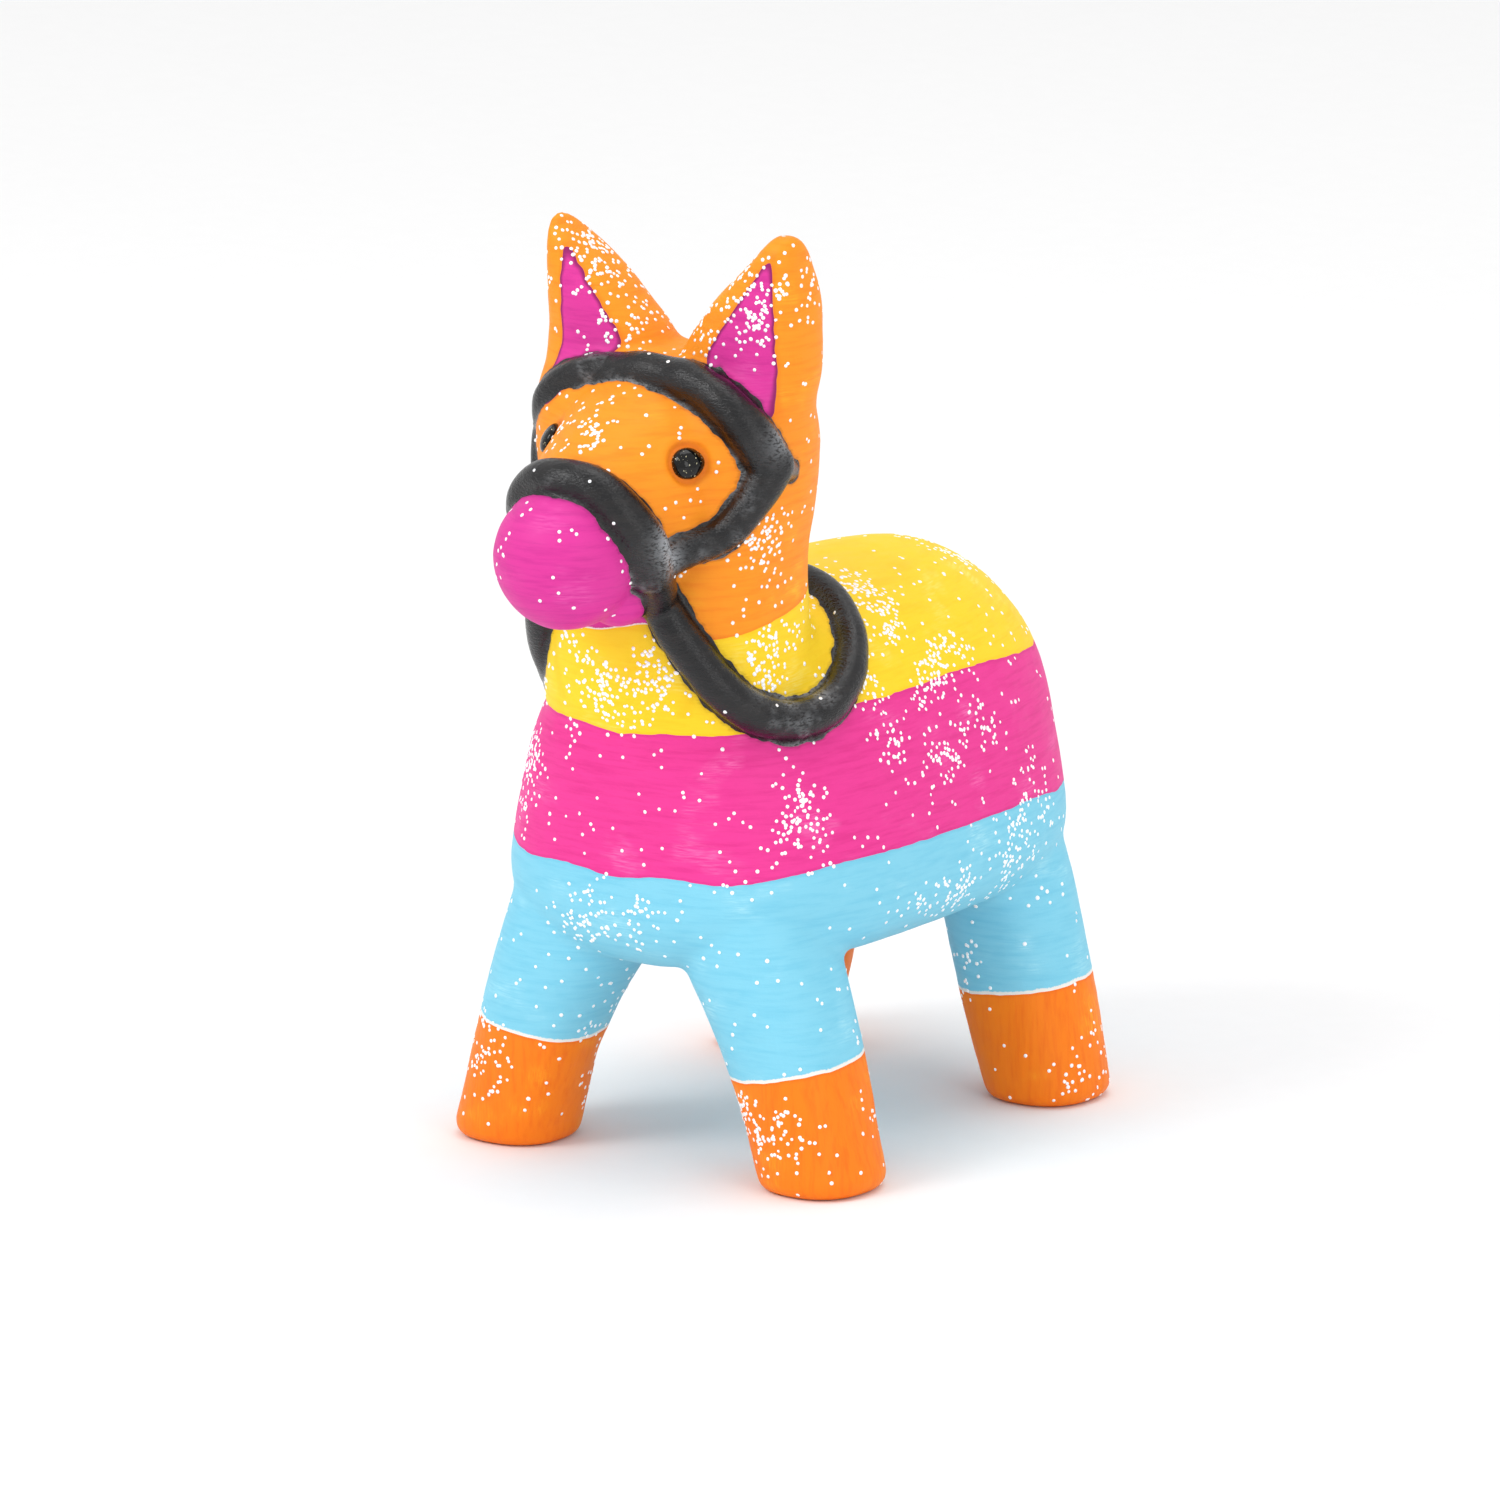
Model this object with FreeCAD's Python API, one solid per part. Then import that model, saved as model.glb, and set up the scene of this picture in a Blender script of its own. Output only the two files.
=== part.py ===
"""A painted ceramic donkey pinata figurine, 91 mm tall, standing on four hooves with its nose along -Y.

The body is a hollow casting on four solid legs. It is made here in the sections that its luted joints
and colour bands divide it into, each a solid of its own. The bridle and reins are rolled clay ropes laid
on the casting, the eyes are domed drops and the ear linings are thin inlays. Nothing moves. Units are
millimetres, +Z up, and the origin is under the middle of the whole figurine, on the surface it stands on.
"""
import FreeCAD
import Part
import math
import os

V = FreeCAD.Vector
SIDES = {"left": 1, "right": -1}
FAR = 200.0

# Heights where one colour band or casting section ends and the next begins
HOOF_TOP = {"front_left": 12.6, "front_right": 12.1, "rear_left": 12.1, "rear_right": 11.8}
BLUE_TOP = 30.6
PINK_TOP = 44.2
YELLOW_TOP = 54.7

# The casting's cavity, its drain hole and the inclined joint where the neck is luted on
WALL = 3.2
NECK_WALL = 4.0
BELLY_Z = 20.0
SHOULDER = 42.0
DRAIN_RADIUS = 3.0
NECK_JOINT = (V(0, -30.0, 45.4), V(0, -8.6, 51.0))

# Legs, which were set on by hand: the foot's x and y, and how far the leg moves in x and y per mm up
LEGS = {
    "front_left": (18.1, -20.2, -0.34, 0.02),
    "front_right": (-17.6, -20.2, 0.34, 0.02),
    "rear_left": (17.4, 19.5, -0.22, -0.04),
    "rear_right": (-15.8, 20.8, 0.20, -0.04),
}
HOOF_EDGE = 1.4
LEG_SQUARENESS = 2.3

# Head
MUZZLE_CENTRE = V(0, -36.6, 62.4)
MUZZLE_RADIUS = 6.8
MUZZLE_DROP = 0.36
MUZZLE_JOINT = (V(0, -36.8, 69.8), V(0, -26.8, 56.0))
EYE = V(8.4, -28.0, 71.0)
EYE_RADIUS = 1.5
EYE_PROUD = 0.9
EAR_ROOT = 75.6
LINING_CORNERS = [(5.3, 79.7), (12.7, 74.8), (12.6, 89.0)]
LINING_SHIFT = {"left": 0.4, "right": -0.6}
LINING_CORNER_RADIUS = 0.7
LINING_DEPTH = 0.6
LINING_RECESS = 0.1
LINING_BACK = -18.0
EAR_SQUARENESS = 2.5

# Ropes: radius, and how far the centre line stands off the casting
NOSEBAND = (2.2, 0.0)
BROWBAND = (1.9, 0.0)
CHEEK_STRAP = (1.6, 0.4)
REIN = (1.75, 0.6)
ARC_SHARE = 0.45

# Horizontal sections: half width, front y, rear y, height, squareness
TORSO = [
    (10.5, -20.0, 21.0, BELLY_Z, 2.6),
    (15.3, -24.8, 26.2, 20.9, 2.8),
    (19.1, -27.7, 28.8, 23.2, 3.0),
    (20.4, -28.8, 29.8, 26.0, 3.0),
    (20.2, -28.9, 30.0, 30.5, 3.0),
    (18.9, -28.4, 29.9, 36.5, 3.0),
    (17.4, -27.8, 29.4, 42.0, 2.9),
    (15.4, -26.3, 28.1, 46.3, 2.7),
    (12.6, -23.3, 25.8, 49.8, 2.5),
    (9.0, -18.0, 22.8, 52.2, 2.3),
    (5.0, -11.0, 19.3, 53.4, 2.1),
    (1.8, -4.0, 15.5, 53.8, 2.0),
]
NECK_AND_SKULL = [
    (12.6, -25.2, -6.4, 38.0, 2.4),
    (13.0, -26.6, -6.8, 41.0, 2.4),
    (13.3, -28.0, -7.2, 45.0, 2.4),
    (12.9, -28.6, -7.6, 49.0, 2.4),
    (12.4, -28.7, -7.8, 54.0, 2.5),
    (12.3, -28.6, -7.8, 59.0, 2.5),
    (13.1, -28.5, -7.4, 65.0, 2.5),
    (13.7, -28.0, -8.0, 71.0, 2.6),
    (13.7, -26.3, -10.2, 75.0, 2.8),
    (13.0, -23.8, -12.4, 77.8, 2.8),
    (11.0, -21.0, -14.6, 78.9, 2.6),
]
# Across the snout: distance behind the muzzle's centre, half width, half height
SNOUT = [
    (18.0, 11.0, 10.8),
    (12.0, 9.8, 9.9),
    (6.5, 8.1, 8.6),
    (2.5, 6.9, 7.4),
    (0.0, 6.7, 6.9),
]
# What sets each hand-finished ear apart: its inner and outer edges further out, and its tip lower
EAR_TRIM = {"left": (0.0, 0.7, -0.2), "right": (0.9, -0.3, 0.6)}
# Ear sections: height, inner x, outer x, front y, rear y
EAR = [
    (68.0, 2.4, 11.4, -20.8, -13.6),
    (72.0, 1.4, 13.1, -21.5, -13.2),
    (75.6, 0.5, 14.4, -22.1, -12.4),
    (79.2, 1.1, 14.4, -22.1, -12.2),
    (82.4, 3.3, 14.3, -22.0, -12.8),
    (86.6, 7.1, 14.1, -21.7, -14.0),
    (89.2, 9.9, 13.8, -21.2, -15.6),
    (90.8, 11.5, 13.5, -20.4, -17.2),
    (91.4, 12.3, 13.0, -19.6, -18.3),
]
# Leg sections: height, radius
LEG_SECTIONS = {
    "front": [(0.0, 6.0), (6.0, 6.35), (12.0, 6.8), (18.0, 7.1), (28.0, 7.4)],
    "rear": [(0.0, 5.8), (6.0, 6.1), (12.0, 6.3), (18.0, 6.4), (24.0, 6.2), (29.0, 5.4)],
}
# Tail sections: height, half width, how far its middle stands off the rump's outline
TAIL = [
    (30.6, 1.0, 0.2),
    (32.4, 2.3, 0.6),
    (35.4, 2.9, 0.8),
    (39.2, 2.3, 0.7),
    (43.6, 1.8, 0.5),
    (46.2, 1.1, 0.1),
]
TAIL_DEPTH = 0.85

# Routes of the left-hand ropes, near the casting; the right-hand ones mirror them, a little closer in
BROW_ROUTE = [
    V(0, -24.5, 77.5), V(4.4, -24.6, 77.2), V(8.6, -24.5, 76.2), V(11.9, -23.2, 73.4),
    V(13.1, -19.4, 69.3),
]
CHEEK_ROUTE = [V(13.1, -19.4, 69.3), V(12.1, -23.0, 66.4), V(10.2, -26.0, 63.8), V(7.9, -30.4, 61.8)]
NOSE_ROUTE = [
    V(0, -36.5, 70.0), V(3.2, -36.4, 69.6), V(5.9, -36.1, 67.5), V(7.2, -34.9, 64.2),
    V(7.2, -32.8, 60.5),
]
REIN_ROUTE = [
    V(7.2, -32.8, 60.5), V(5.5, -29.4, 57.0), V(6.1, -28.2, 53.2), V(8.4, -27.2, 49.7),
    V(11.2, -24.9, 46.5), V(13.7, -20.4, 44.8), V(14.8, -15.4, 44.6), V(14.7, -11.2, 45.8),
    V(12.9, -7.8, 48.4), V(9.6, -5.0, 51.2), V(5.2, -2.6, 53.5), V(0, -1.4, 54.3),
]
RIGHT_SHARE = 0.95
HEAD_MIDDLE = V(0, -20.0, 66.0)
NECK_MIDDLE = V(0, -18.0, 44.0)
REACH = 0.4


def superellipse(half_x, y_front, y_rear, z, power, middle_x=0.0, count=28):
    """A closed smooth outline at height z, half_x to each side of middle_x and from y_front to y_rear."""
    middle_y = (y_front + y_rear) / 2
    half_y = (y_rear - y_front) / 2
    points = []
    for i in range(count):
        angle = 2 * math.pi * i / count
        c, s = math.cos(angle), math.sin(angle)
        x = middle_x + half_x * math.copysign(abs(c) ** (2 / power), c)
        y = middle_y + half_y * math.copysign(abs(s) ** (2 / power), s)
        points.append(V(x, y, z))
    curve = Part.BSplineCurve()
    curve.interpolate(points, PeriodicFlag=True)
    return Part.Wire(curve.toShape())


def loft(wires):
    return Part.makeLoft(wires, True, False)


def slab(z_low, z_high):
    return Part.makeBox(2 * FAR, 2 * FAR, z_high - z_low, V(-FAR, -FAR, z_low))


def half_space(joint):
    """A large block above the plane that holds joint's two points and runs along X."""
    low, high = joint
    normal = V(1, 0, 0).cross(high - low).normalize()
    block = Part.makeBox(2 * FAR, 2 * FAR, FAR, V(-FAR, -FAR, 0))
    block.Placement = FreeCAD.Placement(low, FreeCAD.Rotation(V(0, 0, 1), normal))
    return block


def main_solid(shape):
    """The largest solid of a shape, without the slivers that a cut leaves."""
    return max(shape.Solids, key=lambda s: s.Volume)


def torso():
    return loft([superellipse(*section) for section in TORSO])


def torso_cavity():
    """The torso's inside: each section drawn in by the wall, and lowered by up to the wall at the back."""
    wires = []
    for half_x, front, rear, z, power in TORSO[2:-1]:
        lowered = z - WALL * max(0.0, z - SHOULDER) / (TORSO[-1][3] - SHOULDER)
        floor = max(lowered, BELLY_Z + WALL)
        wires.append(superellipse(half_x - WALL, front + WALL, rear - WALL, floor, power))
    return loft(wires)


def neck_and_skull():
    return loft([superellipse(*section) for section in NECK_AND_SKULL])


def neck_cavity():
    """The inside of the neck and skull, opening into the torso's."""
    wires = []
    for half_x, front, rear, z, power in NECK_AND_SKULL[:-2]:
        wires.append(superellipse(half_x - NECK_WALL, front + NECK_WALL, rear - NECK_WALL, z, power))
    return loft(wires)


def leg(name):
    foot_x, foot_y, lean_x, lean_y = LEGS[name]
    wires = []
    for z, radius in LEG_SECTIONS[name.split("_")[0]]:
        x = foot_x + lean_x * z
        y = foot_y + lean_y * z
        wires.append(superellipse(radius, y - radius, y + radius, z, LEG_SQUARENESS, x, 20))
    solid = loft(wires)
    sole = [e for e in solid.Edges if abs(e.BoundBox.ZMax) < 1e-3]
    return solid.makeFillet(HOOF_EDGE, sole)


def set_across(wire, centre, axis):
    """The wire, drawn flat about the origin, set across axis at centre with its y pointing up."""
    across = V(axis).normalize()
    up = V(1, 0, 0).cross(across).normalize()
    matrix = FreeCAD.Matrix(
        1, up.x, across.x, centre.x,
        0, up.y, across.y, centre.y,
        0, up.z, across.z, centre.z,
        0, 0, 0, 1,
    )
    return wire.transformGeometry(matrix)


def snout():
    axis = V(0, -1, -MUZZLE_DROP)
    wires = []
    for back, half_x, half_z in SNOUT:
        flat = superellipse(half_x, -half_z, half_z, 0, 2.0, 0, 24)
        wires.append(set_across(flat, MUZZLE_CENTRE - axis * back, axis))
    return loft(wires).fuse(Part.makeSphere(MUZZLE_RADIUS, MUZZLE_CENTRE))


def ear(a, recess=0.0):
    """The left or right ear, with its front face set back by recess."""
    inner_trim, outer_trim, drop = EAR_TRIM[a]
    wires = []
    for z, inner, outer, front, rear in EAR:
        share = max(0.0, (z - EAR_ROOT) / (EAR[-1][0] - EAR_ROOT))
        ramp = min(1.0, 3 * share)
        low_x = inner + ramp * inner_trim
        high_x = outer + ramp * outer_trim
        middle_x = SIDES[a] * (low_x + high_x) / 2
        half_x = (high_x - low_x) / 2
        level = z - share * drop
        wires.append(superellipse(half_x, front + recess, rear, level, EAR_SQUARENESS, middle_x, 20))
    return loft(wires)


def lining_prism(a):
    """A rounded triangle as deep as the front half of an ear."""
    depth = FAR / 4
    front = LINING_BACK - depth
    points = [V(SIDES[a] * (x + LINING_SHIFT[a]), front, z) for x, z in LINING_CORNERS]
    face = Part.Face(Part.makePolygon(points + points[:1]))
    prism = face.extrude(V(0, depth, 0))
    level = [e for e in prism.Edges if abs(e.Vertexes[0].Z - e.Vertexes[-1].Z) < 1e-6]
    corners = [e for e in level if e.Length > depth / 2]
    return prism.makeFillet(LINING_CORNER_RADIUS, corners)


def tail():
    wires = []
    rump = [(z, rear) for _, _, rear, z, _ in TORSO]
    for z, half_x, proud in TAIL:
        below = max(point for point in rump if point[0] <= z)
        above = min(point for point in rump if point[0] > z)
        share = (z - below[0]) / (above[0] - below[0])
        y = below[1] + share * (above[1] - below[1]) + proud
        half_y = half_x * TAIL_DEPTH
        wires.append(superellipse(half_x, y - half_y, y + half_y, z, 2.0, 0, 16))
    return loft(wires)


def on_surface(point, middle, shells, lift):
    """Where a rope's centre line passes near point, lift outside the casting, seen from middle."""
    outwards = (point - middle).normalize()
    near = [shell.distToShape(Part.Vertex(point + outwards * REACH)) for shell in shells]
    foot = min(near, key=lambda found: found[0])[1][0][0]
    normal = (point + outwards * REACH - foot).normalize()
    if normal.dot(outwards) < 0:
        normal = -normal
    return foot + normal * lift


def rope(points, radius):
    """A tube along straight runs that tangent arcs join, with round ends."""
    edges = []
    start = points[0]
    for before, corner, after in zip(points, points[1:], points[2:]):
        along = (corner - before).normalize()
        away = (after - corner).normalize()
        turn = along.getAngle(away)
        back = ARC_SHARE * min(corner.distanceToPoint(before), corner.distanceToPoint(after))
        arc_radius = back / math.tan(turn / 2)
        begin, end = corner - along * back, corner + away * back
        bend = (away - along).normalize()
        bow = arc_radius * (1 / math.cos(turn / 2) - 1)
        edges.append(Part.LineSegment(start, begin).toShape())
        edges.append(Part.Arc(begin, corner + bend * bow, end).toShape())
        start = end
    edges.append(Part.LineSegment(start, points[-1]).toShape())
    path = Part.Wire(edges)
    ring = Part.Wire(Part.makeCircle(radius, points[0], points[1] - points[0]))
    return path.makePipeShell([ring], True, False)


def mirrored(points):
    return [V(-RIGHT_SHARE * p.x, p.y, p.z) for p in points]


def both_sides(route):
    """A route that starts on the middle plane, run from its right-hand end to its left-hand one."""
    return mirrored(route[:0:-1]) + route


def laid_rope(route, rope_size, middle, shells):
    """A rope of rope_size along route, on the shells of the casting, whose inside is around middle."""
    radius, lift = rope_size
    return rope([on_surface(p, middle, shells, lift) for p in route], radius)


def fitted(tube, others):
    """The tube without what it would share with the others."""
    for other in others:
        tube = tube.cut(other)
    return main_solid(tube)


trunk = torso()
neck = neck_and_skull()
nose = snout()
cavity = torso_cavity().fuse(neck_cavity())
parts = {}

# Legs and hooves
for name in LEGS:
    solid = leg(name)
    sole = slab(-1, HOOF_TOP[name])
    parts["hoof_" + name] = solid.common(sole)
    parts["leg_" + name] = main_solid(solid.cut(sole).cut(trunk))

# Casting
above_joint = half_space(NECK_JOINT)
neck_piece = neck.common(above_joint)
stump = neck.cut(above_joint)
trunk_hollow = trunk.fuse(stump).cut(cavity).cut(neck_piece)
drain = Part.makeCylinder(DRAIN_RADIUS, 2 * WALL, V(0, 0, BELLY_Z - 1))
parts["belly_shell"] = main_solid(trunk_hollow.common(slab(0, BLUE_TOP)).cut(drain))
parts["middle_shell"] = main_solid(trunk_hollow.common(slab(BLUE_TOP, PINK_TOP)))
parts["back_shell"] = main_solid(trunk_hollow.common(slab(PINK_TOP, FAR)))
parts["neck_shell"] = main_solid(neck_piece.common(slab(0, YELLOW_TOP)).cut(cavity))

# Head
behind_muzzle = half_space(MUZZLE_JOINT)
skull = neck_piece.cut(slab(0, YELLOW_TOP)).fuse(nose.common(behind_muzzle))
parts["muzzle"] = main_solid(nose.cut(behind_muzzle).cut(neck))
parts["head_shell"] = main_solid(skull.cut(cavity))
shells = [main_solid(solid).Shells[0] for solid in (trunk, skull, neck_piece)]
for a, side in SIDES.items():
    middle = on_surface(V(side * EYE.x, EYE.y, EYE.z), HEAD_MIDDLE, shells, EYE_PROUD - EYE_RADIUS)
    parts["eye_" + a] = main_solid(Part.makeSphere(EYE_RADIUS, middle).cut(skull))

# Ears and their linings
for a, side in SIDES.items():
    whole = ear(a).cut(skull)
    prism = lining_prism(a)
    floor = ear(a, LINING_DEPTH)
    inlay = prism.common(ear(a, LINING_RECESS)).cut(floor).cut(skull)
    parts["ear_" + a] = main_solid(whole.cut(prism.cut(floor)))
    parts["ear_lining_" + a] = main_solid(inlay)
parts["tail"] = main_solid(tail().cut(trunk))

# Bridle and reins: each rope gives way to the casting, the ears and the ropes laid before it
casting = [trunk, neck, nose]
casting += [parts[node + a] for node in ("ear_", "ear_lining_") for a in SIDES]
parts["noseband"] = fitted(laid_rope(both_sides(NOSE_ROUTE), NOSEBAND, HEAD_MIDDLE, shells), casting)
parts["browband"] = fitted(laid_rope(both_sides(BROW_ROUTE), BROWBAND, HEAD_MIDDLE, shells), casting)
laid = casting + [parts["noseband"], parts["browband"]]
for a, side in SIDES.items():
    cheek = CHEEK_ROUTE if side > 0 else mirrored(CHEEK_ROUTE)
    rein = REIN_ROUTE if side > 0 else mirrored(REIN_ROUTE)
    parts["cheek_strap_" + a] = fitted(laid_rope(cheek, CHEEK_STRAP, HEAD_MIDDLE, shells), laid)
    laid.append(parts["cheek_strap_" + a])
    parts["rein_" + a] = fitted(laid_rope(rein, REIN, NECK_MIDDLE, shells), laid)
    laid.append(parts["rein_" + a])

# The origin goes under the middle of the figurine's length
boxes = [s.optimalBoundingBox(False, False) for s in parts.values()]
shift = -(min(b.YMin for b in boxes) + max(b.YMax for b in boxes)) / 2
os.makedirs("parts", exist_ok=True)
for name, shape in parts.items():
    shape.translate(V(0, shift, 0))
    shape.exportStep(f"parts/{name}.step")
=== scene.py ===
"""The looks of a painted ceramic donkey pinata figurine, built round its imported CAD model.

The casting and the ropes laid on it are one skin on the real object, so they are made here as one smooth
skin and cut into pieces along the hand-painted colour borders, each piece a closed shell that stands for its
CAD node. The eyes, the tail and the drain hole's wall are pieces of their own, and glitter lies on the paint.
Work is done in millimetres and scaled to metres when a piece is made.
"""
import math

import bpy
import numpy as np
from mathutils import Matrix, Vector
from mathutils.bvhtree import BVHTree


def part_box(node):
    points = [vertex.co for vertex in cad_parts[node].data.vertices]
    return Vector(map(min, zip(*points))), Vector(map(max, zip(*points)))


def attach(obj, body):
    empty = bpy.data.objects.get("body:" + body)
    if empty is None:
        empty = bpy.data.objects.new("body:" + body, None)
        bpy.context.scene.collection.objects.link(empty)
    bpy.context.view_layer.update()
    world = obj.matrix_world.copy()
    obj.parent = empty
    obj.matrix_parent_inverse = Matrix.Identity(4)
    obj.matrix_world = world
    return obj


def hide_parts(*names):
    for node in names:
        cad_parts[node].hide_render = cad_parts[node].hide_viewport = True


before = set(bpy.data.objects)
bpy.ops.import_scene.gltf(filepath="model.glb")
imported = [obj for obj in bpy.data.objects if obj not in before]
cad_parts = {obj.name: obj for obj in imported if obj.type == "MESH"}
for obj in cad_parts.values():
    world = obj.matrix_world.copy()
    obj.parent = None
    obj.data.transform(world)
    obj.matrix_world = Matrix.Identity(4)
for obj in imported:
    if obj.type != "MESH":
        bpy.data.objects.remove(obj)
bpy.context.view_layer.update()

MM = 0.001
VOXEL = 0.3
FILLET = 0.8
SHELL = 1.0
SIDES = {"left": 1, "right": -1}
LEGS = ["front_left", "front_right", "rear_left", "rear_right"]
CASTING = ["belly_shell", "middle_shell", "back_shell", "neck_shell", "head_shell", "muzzle"]
CASTING += ["hoof_" + leg for leg in LEGS] + ["leg_" + leg for leg in LEGS]
CASTING += ["ear_left", "ear_right", "ear_lining_left", "ear_lining_right"]


def box(node):
    low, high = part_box(node)
    return np.array(low) / MM, np.array(high) / MM


# The routes of part.py are given about the feet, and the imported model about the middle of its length
TORSO_REAR = 30.0
AFT = box("middle_shell")[1][1] - TORSO_REAR


def placed(points):
    return np.array(points, float) + (0, AFT, 0)


# ---------------------------------------------------------------- mesh tools

def triangles_of(mesh):
    mesh.calc_loop_triangles()
    points = np.empty(len(mesh.vertices) * 3)
    mesh.vertices.foreach_get("co", points)
    faces = np.empty(len(mesh.loop_triangles) * 3, np.int32)
    mesh.loop_triangles.foreach_get("vertices", faces)
    return points.reshape(-1, 3), faces.reshape(-1, 3)


def mesh_of(name, points, faces):
    """A mesh of equal-sided faces: triangles, quads or polygons of one count."""
    mesh = bpy.data.meshes.new(name)
    sides = faces.shape[1]
    mesh.vertices.add(len(points))
    mesh.vertices.foreach_set("co", np.asarray(points, np.float32).ravel())
    mesh.loops.add(faces.size)
    mesh.loops.foreach_set("vertex_index", np.asarray(faces, np.int32).ravel())
    mesh.polygons.add(len(faces))
    mesh.polygons.foreach_set("loop_start", np.arange(0, faces.size, sides, dtype=np.int32))
    mesh.update(calc_edges=True)
    mesh.validate()
    return mesh


def joined(parts):
    points, faces, count = [], [], 0
    for p, f in parts:
        points.append(p)
        faces.append(f + count)
        count += len(p)
    return np.concatenate(points), np.concatenate(faces)


def cad_skin(names):
    parts = [triangles_of(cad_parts[name].data) for name in names]
    points, faces = joined(parts)
    return points / MM, faces


def remeshed(points, faces, voxel=VOXEL):
    obj = bpy.data.objects.new("work", mesh_of("work", points, faces))
    bpy.context.scene.collection.objects.link(obj)
    modifier = obj.modifiers.new("voxels", "REMESH")
    modifier.mode = "VOXEL"
    modifier.voxel_size = voxel
    modifier.adaptivity = 0
    shown = obj.evaluated_get(bpy.context.evaluated_depsgraph_get())
    result = bpy.data.meshes.new_from_object(shown)
    made = triangles_of(result)
    bpy.data.objects.remove(obj)
    bpy.data.meshes.remove(result)
    return made


def normals_of(points, faces):
    corner = points[faces]
    across = np.cross(corner[:, 1] - corner[:, 0], corner[:, 2] - corner[:, 0])
    total = np.zeros_like(points)
    for k in range(3):
        for axis in range(3):
            total[:, axis] += np.bincount(faces[:, k], across[:, axis], len(points))
    return total / np.maximum(np.linalg.norm(total, axis=1, keepdims=True), 1e-12)


def neighbour_mean(faces, total):
    """A function that gives the mean of each point's neighbours, on a mesh with total points."""
    pairs = np.concatenate([faces[:, [0, 1]], faces[:, [1, 2]], faces[:, [2, 0]]])
    pairs = np.concatenate([pairs, pairs[:, ::-1]])
    here, there = pairs[:, 0], pairs[:, 1]
    count = np.maximum(np.bincount(here, minlength=total), 1)[:, None]

    def mean(points):
        sums = [np.bincount(here, points[there, axis], total) for axis in range(3)]
        return np.stack(sums, 1) / count

    return mean


def smoothed(points, faces, rounds):
    """Taubin smoothing, which keeps the size."""
    mean = neighbour_mean(faces, len(points))
    for _ in range(rounds):
        for share in (0.5, -0.52):
            points = points + share * (mean(points) - points)
    return points


def outer_skin(points, faces):
    """The connected part that holds the highest point."""
    label = np.arange(len(points))
    while True:
        low = label[faces].min(1)
        new = label.copy()
        for k in range(3):
            np.minimum.at(new, faces[:, k], low)
        new = new[new]
        if (new == label).all():
            break
        label = new
    keep = label == label[points[:, 2].argmax()]
    return compact(points, faces[keep[faces].all(1)])


def compact(points, faces):
    used = np.unique(faces)
    index = np.full(len(points), -1)
    index[used] = np.arange(len(used))
    return points[used], index[faces]


def noise(points, size, seed):
    """Smooth noise from -1 to 1 whose bumps are about size millimetres across."""
    side = 32
    table = np.random.default_rng(seed).uniform(-1, 1, (side, side, side))
    q = points / size + 1000.0
    cell = np.floor(q).astype(int)
    f = q - cell
    f = f * f * (3 - 2 * f)
    total = np.zeros(len(points))
    for dx in (0, 1):
        for dy in (0, 1):
            for dz in (0, 1):
                weight = np.abs(1 - dx - f[:, 0]) * np.abs(1 - dy - f[:, 1]) * np.abs(1 - dz - f[:, 2])
                corner = (cell + (dx, dy, dz)) % side
                total += weight * table[corner[:, 0], corner[:, 1], corner[:, 2]]
    return total


def spline(points, steps):
    """A smooth curve through the points (Catmull-Rom), with steps samples for each run."""
    points = np.asarray(points, float)
    padded = np.concatenate([[2 * points[0] - points[1]], points, [2 * points[-1] - points[-2]]])
    made = []
    for a, b, c, d in zip(padded, padded[1:], padded[2:], padded[3:]):
        for t in np.arange(steps) / steps:
            bend = (2 * a - 5 * b + 4 * c - d) * t * t + (3 * b - a - 3 * c + d) * t ** 3
            made.append(0.5 * (2 * b + (c - a) * t + bend))
    made.append(points[-1])
    return np.array(made)


# ---------------------------------------------------------------- casting

def prism_faces(count):
    """The faces of a closed prism whose two rings have count points each."""
    faces = []
    for i in range(count):
        j = (i + 1) % count
        faces += [(i, j, count + j), (i, count + j, count + i)]
        if 0 < i < count - 1:
            faces += [(0, i + 1, i), (count, count + i, count + i + 1)]
    return np.array(faces)


def ring_faces(rings, count, capped=True):
    """The faces between rings of count points each, and across the first and the last ring if capped."""
    faces = []
    for i in range(rings - 1):
        for j in range(count):
            a, b = i * count + j, i * count + (j + 1) % count
            faces += [(a, b, b + count), (a, b + count, a + count)]
    if capped:
        last = (rings - 1) * count
        for j in range(1, count - 1):
            faces += [(0, j + 1, j), (last, last + j, last + j + 1)]
    return np.array(faces)


def angles(count):
    return np.arange(count) * 2 * math.pi / count


def cylinder(radius, low, high, centre, count=48):
    angle = angles(count)
    ring = np.stack([np.cos(angle) * radius + centre[0], np.sin(angle) * radius + centre[1]], 1)
    points = np.concatenate([np.c_[ring, np.full(count, low)], np.c_[ring, np.full(count, high)]])
    return points, prism_faces(count)


def ball(centre, radius, count=16):
    """A ball of count rings, its poles left a little open and capped."""
    ring = angles(count)
    pole = 0.02
    points = []
    for t in np.linspace(pole, math.pi - pole, count):
        points += [(math.sin(t) * math.cos(a), math.sin(t) * math.sin(a), -math.cos(t)) for a in ring]
    return np.array(points) * radius + centre, ring_faces(count, count)


JAW = placed((2.9, -32.1, 58.5))
JAW_RADIUS = 3.3
DRAIN = np.array([0.0, AFT])
DRAIN_RADIUS = 3.0
belly_low = box("belly_shell")[0][2]
# The stopper that closes the drain hole for the skin: how much wider it is, and its ends above the belly
STOPPER_MARGIN, STOPPER_LOW, STOPPER_HIGH = 0.6, 0.2, 2.0
# The front legs' inner sides: how far each is set back, which way, and over what width and heights
LEG_SLIMMING = {"left": 0.9, "right": 1.5}
SLIM_DIRECTION = (0.82, 0.57)
SLIM_WIDTH = 7.0
SLIM_LOW, SLIM_TALL = -2.0, 22.0
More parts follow.
